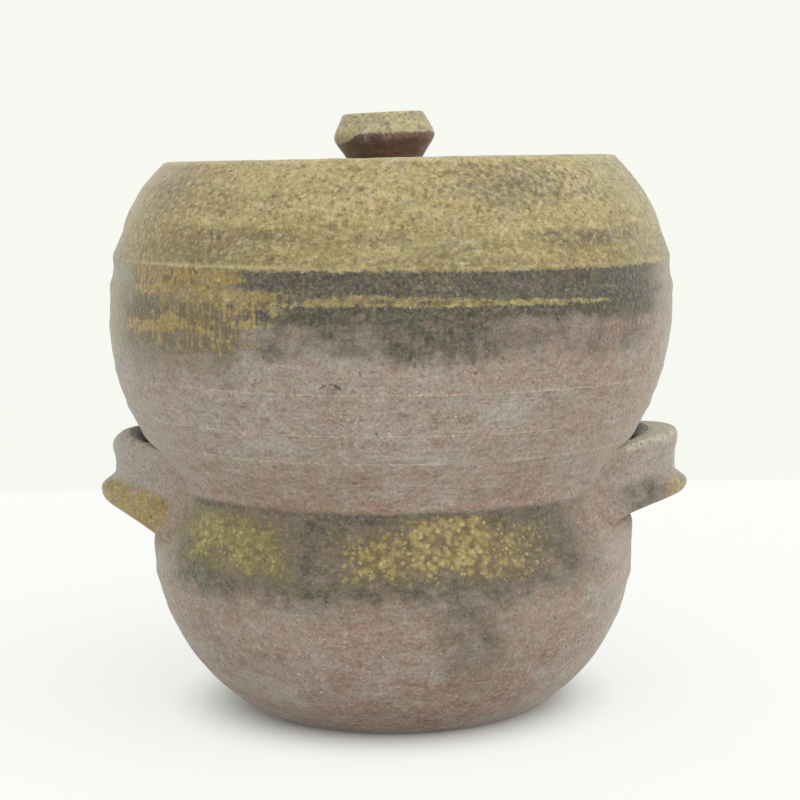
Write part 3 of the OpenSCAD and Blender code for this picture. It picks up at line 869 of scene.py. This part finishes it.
def fine_marks(c, colour, cover):
    """Pale threads on the ridges, grit and pits; cover is where smoke or ash hides them."""
    gaps = (0.8 + 0.7 * c.noise(14, 11)).clamp() * (0.8 + 0.5 * c.fine)
    near = c.level + 0.25 * c.noise(30, 12) + 0.12 * c.thread
    threads = highest(near.band(height - 0.15, height + 0.15, 0.3) for height in THREADS)
    sides = (c.az.band(-62, -16, 8)).max(c.az.band(30, 60, 8) * 0.6)
    threads = threads.max(near.band(44.4, 45.4, 0.7) * sides * (0.35 + 0.5 * c.small)) * gaps * c.wall
    colour = c.mix(colour, CREAM, threads * 0.6)
    zone = 0.07 + 0.08 * c.mid + 0.07 * c.level.band(98, 124, 6) * c.az.band(-25, 40, 12)
    zone = zone + 0.08 * c.level.band(14, 42, 6) * c.az.band(-35, 15, 12)
    grit = c.pebbles(2.0, 16, zone * (1.0 - 0.7 * cover), 0.07)
    colour = c.mix(colour, CREAM, grit * 0.5)
    pits = c.pebbles(5.0, 17, 0.035 + 0.025 * c.mid, 0.05)
    colour = c.mix(colour, SOOT, pits.max(c.spot(-10.5, 115.5, 0.9, 1.1)) * 0.7)
    return colour, grit - 4.0 * pits


def fired(c, colour, smoke, films, lumps):
    """Ends a material of the jar: its fine marks, and the relief and gloss of its smoke and ash films."""
    colour, marks = fine_marks(c, colour, smoke.max(films))
    colour = c.shade(colour, 1.06 + 0.22 * c.dust + 0.22 * c.fine + 0.14 * c.grain + 0.1 * c.thread)
    rough = 0.78 - 0.12 * films - 0.1 * smoke + 0.06 * c.grain
    relief = 0.4 * c.dust + 0.5 * c.fine + 0.12 * c.thread + 0.4 * c.grain
    return c.finish(colour, rough, relief + lumps + 0.3 * marks, 0.2)


# The jar has three materials, because one for all of it would not fit on Cycles' shader stack


def globe_clay():
    """Wood-fired globe: ash on its shoulder, smoke under that, and bare clay below."""
    c = JarClay("wood_fired_globe")
    colour, smoke = globe_smoke(c, bare_clay(c))
    colour, films, lumps = shoulder_ash(c, colour)
    return fired(c, colour, smoke, films, 0.5 * lumps + 0.5 * films)


def bowl_clay():
    """Wood-fired bowl: smoke and grains of ash on its shoulder, and bare clay below."""
    c = JarClay("wood_fired_bowl")
    colour, smoke = bowl_smoke(c, bare_clay(c))
    colour, blobs = bowl_ash(c, colour)
    return fired(c, colour, smoke, blobs, 0.8 * blobs)


def lug_clay():
    """Wood-fired lugs: the bowl's smoke where they run out on to it, and ash on their lips."""
    c = JarClay("wood_fired_lugs")
    colour, smoke = bowl_smoke(c, bare_clay(c))
    colour, films, lumps = lug_ash(c, colour)
    return fired(c, colour, smoke, films, 0.5 * lumps + 0.5 * films)


def ash_top(c, film, top, seed, share):
    """Ash film with its grains and crumbs, for the lid's and the knob's tops; top is where it lies."""
    film = c.spots(film, TAUPE, 2.8, seed, -0.05, 1.3, 0.6)
    film = c.spots(film, OLIVE, 1.6, seed + 1, share, 1.2, 0.7)
    film = c.spots(film, STRAW, 1.5, seed + 2, -0.05, 1.2, 0.7)
    grains = c.pebbles(2.0, seed + 3, top * 0.42)
    film = c.mix(film, STRAW, grains * 0.5)
    crumbs = c.pebbles(2.3, seed + 5, top * 0.27)
    return c.mix(film, BARK, crumbs * 0.5), grains - 0.7 * crumbs


def lid_clay():
    """Ash-covered top of the lid, with bare clay underneath."""
    c = Clay("wood_fired_lid")
    broad, mid, small = c.noise(26, 21), c.noise(12, 22), c.noise(5, 24)
    grain, fine, dust = c.noise(2.4, 23), c.noise(1.1, 25), c.noise(0.6, 26, 1)
    colour = c.mix(MAUVE, PINK, 0.5 + 0.6 * mid)
    colour = c.mix(colour, LILAC, 0.3 + 0.6 * broad + 0.3 * small)
    colour = c.spots(colour, UMBER, 1.2, 27, -0.1, 1.0, 0.45)
    top = (c.z + 0.25 * grain).step(LID_EDGE_Z - 2.4, LID_EDGE_Z - 0.8)
    film = c.mix(KHAKI, OCHRE, 0.3 + 0.5 * mid)
    film = c.mix(film, TAUPE, c.radius.step(46, 64) * 0.4 + c.radius.step(24, 12) * 0.5)
    film, lumps = ash_top(c, film, top, 81, 0.1)
    colour = c.mix(colour, film, top * 0.95)
    pits = c.pebbles(5.0, 29, 0.075 + 0.02 * mid, 0.05)
    colour = c.mix(colour, SOOT, pits * 0.7)
    colour = c.shade(colour, 1.0 + 0.3 * dust + 0.26 * fine + 0.14 * grain)
    rough = 0.78 - 0.12 * top + 0.06 * grain
    relief = 0.4 * dust + 0.5 * fine + 0.4 * grain + 0.5 * lumps
    return c.finish(colour, rough, relief - 1.2 * pits, 0.2)


def knob_clay():
    """Knob: ash on its crown, further down at the left, and dark bare clay under it."""
    c = Clay("wood_fired_knob")
    mid, small = c.noise(9, 31), c.noise(3.2, 32)
    grain, fine, dust = c.noise(1.5, 33), c.noise(0.9, 37), c.noise(0.6, 34, 1)
    colour = c.mix(UMBER, BROWN, 0.35 + 0.6 * mid + 0.3 * c.x.step(-6, 12))
    colour = c.mix(colour, PLUM, c.x.step(4, -12) * (0.5 + 0.4 * small))
    colour = c.spots(colour, SOOT, 2.4, 91, 0.0, 3.0, 0.6)
    colour = c.spots(colour, RUST, 5, 92, -0.1, 1.5, 0.4)
    colour = c.mix(colour, LILAC, c.radius.step(15.6, 16.8) * (0.7 * small + 0.5 * grain - 0.15))
    fall = 3.2 * c.x.step(-7, -15) - 0.4 * c.x.step(0, 14)
    crown = (c.z + fall + 0.3 * small + 0.25 * grain).step(189.0, 190.0)
    film = c.mix(KHAKI, STRAW, 0.5 + 0.4 * grain + 0.5 * mid)
    film = c.mix(film, SAGE, 0.45 + 0.4 * small)
    film, lumps = ash_top(c, film, crown * 0.8, 93, -0.25)
    colour = c.mix(colour, film, crown)
    edge = (c.z + fall + 0.2 * grain).band(189.1, 190.1, 0.3) * (0.3 + 0.7 * small)
    colour = c.mix(colour, CREAM, edge * 0.7)
    pits = c.pebbles(4.0, 36, 0.08 + 0.03 * mid, 0.05)
    colour = c.mix(colour, SOOT, pits * 0.6)
    colour = c.shade(colour, 1.08 + 0.22 * dust + 0.2 * fine + 0.12 * grain)
    rough = 0.6 + 0.16 * crown + 0.06 * grain
    relief = 0.4 * dust + 0.5 * fine + 0.4 * grain + 0.4 * lumps
    return c.finish(colour, rough, relief - 1.2 * pits, 0.16)


lugs = lug_clay()
PIECES = [
    (lower_bowl(), "lower_bowl", "jar", "bowl_clay", bowl_clay()),
    (upper_globe(), "upper_globe", "jar", "globe_clay", globe_clay()),
    (lug("left_lug_clay", LEFT_LUG), "left_lug", "jar", "lug_clay", lugs),
    (lug("right_lug_clay", RIGHT_LUG), "right_lug", "jar", "lug_clay", lugs),
    (lid_plate(), "lid_plate", "lid", "lid_clay", lid_clay()),
    (lid_knob(), "lid_knob", "lid", "knob_clay", knob_clay()),
]
for piece, node, body, slot, material in PIECES:
    piece.data.materials.append(material)
    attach(piece, body)
    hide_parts(node)


# Floor, light and camera: lengths in metres, but the focal length and the picture's width in pixels

FLOOR_HALF, TABLE_BACK, SHADE_R = 30, 0.431, (0.047, 0.08)
TABLE, TABLE_SEEN, BACKDROP = (0.90, 0.915, 0.88), (1.0, 1.0, 0.975), (0.935, 0.944, 0.88)
ROOM_LIGHT, ROOM_STRENGTH = (1.0, 1.0, 0.985), 0.7
SUN_LIGHT, SUN_ENERGY, SUN_SPREAD, SUN_WAY = (1.0, 0.99, 0.965), 1.35, 80, (-0.32, 0.5, -0.8)
FOCAL, PICTURE, SENSOR = 1953.6, 800, 36
EYE, AIM, ROLL = (0.0, -0.65, 0.1796), (0.0033, 0, 0.1008), -0.92


def seen_tone(tree):
    """1 for the rays that show the background itself: seen, mirrored or passed through."""
    path = tree.nodes.new("ShaderNodeLightPath")
    kinds = ("Is Camera Ray", "Is Glossy Ray", "Is Transmission Ray")
    return highest(Field(tree, path.outputs[kind]) for kind in kinds)


def seen_as(tree, lit, tone, colour, share):
    """A plain tone mixed by a share into a shader that lights the scene, for the rays that see it."""
    tone.inputs["Color"].default_value = (*colour, 1.0)
    both = tree.nodes.new("ShaderNodeMixShader")
    tree.links.new((seen_tone(tree) * share).socket, both.inputs[0])
    tree.links.new(lit.outputs[0], both.inputs[1])
    tree.links.new(tone.outputs[0], both.inputs[2])
    return both.outputs[0]


def floor_material(name, matte, seen, least, most):
    """Matte material, with a plain tone mixed in where it is seen.

    The tone's share grows from least at the jar's foot to most under its widest part and beyond.
    """
    material = bpy.data.materials.new(name)
    tree = empty_tree(material)
    lit = tree.nodes.new("ShaderNodeBsdfDiffuse")
    lit.inputs["Color"].default_value = (*matte, 1.0)
    place = tree.nodes.new("ShaderNodeTexCoord")
    length = tree.nodes.new("ShaderNodeVectorMath")
    length.operation = "LENGTH"
    tree.links.new(place.outputs["Object"], length.inputs[0])
    share = least + (most - least) * Field(tree, length.outputs["Value"]).step(*SHADE_R)
    output = tree.nodes.new("ShaderNodeOutputMaterial")
    tone = tree.nodes.new("ShaderNodeEmission")
    tree.links.new(seen_as(tree, lit, tone, seen, share), output.inputs["Surface"])
    return material


def floor_slab(name, near, far, material):
    """Part of the floor from one depth to another."""
    mesh = bpy.data.meshes.new(name)
    corners = [(-FLOOR_HALF, near, 0), (FLOOR_HALF, near, 0), (FLOOR_HALF, far, 0), (-FLOOR_HALF, far, 0)]
    mesh.from_pydata(corners, [], [(0, 1, 2, 3)])
    mesh.materials.append(material)
    piece = placed(name, mesh)


floor_slab("table", -FLOOR_HALF, TABLE_BACK, floor_material("table", TABLE, TABLE_SEEN, 0.08, 0.7))
floor_slab("backdrop", TABLE_BACK, FLOOR_HALF, floor_material("backdrop", BACKDROP, BACKDROP, 1.0, 1.0))

world = bpy.data.worlds.new("soft_room")
bpy.context.scene.world = world
world_tree = empty_tree(world)
light = world_tree.nodes.new("ShaderNodeBackground")
light.inputs["Color"].default_value = (*ROOM_LIGHT, 1.0)
light.inputs["Strength"].default_value = ROOM_STRENGTH
sky = world_tree.nodes.new("ShaderNodeBackground")
world_out = world_tree.nodes.new("ShaderNodeOutputWorld")
world_tree.links.new(seen_as(world_tree, light, sky, BACKDROP, 1.0), world_out.inputs["Surface"])

sun = bpy.data.lights.new("window", "SUN")
sun.energy = SUN_ENERGY
sun.angle = math.radians(SUN_SPREAD)
sun.color = SUN_LIGHT
window = placed("window", sun)
window.rotation_euler = Vector(SUN_WAY).to_track_quat("-Z", "Y").to_euler()

scene = bpy.context.scene
scene.view_settings.view_transform = "Standard"
camera = placed("camera", bpy.data.cameras.new("camera"))
camera.data.sensor_width = SENSOR
camera.data.lens = SENSOR * FOCAL / PICTURE
camera.location = EYE
aim = (Vector(AIM) - camera.location).to_track_quat("-Z", "Y").to_matrix().to_4x4()
roll = Matrix.Rotation(math.radians(ROLL), 4, "Z")
camera.matrix_world = Matrix.Translation(camera.location) @ aim @ roll
scene.camera = camera
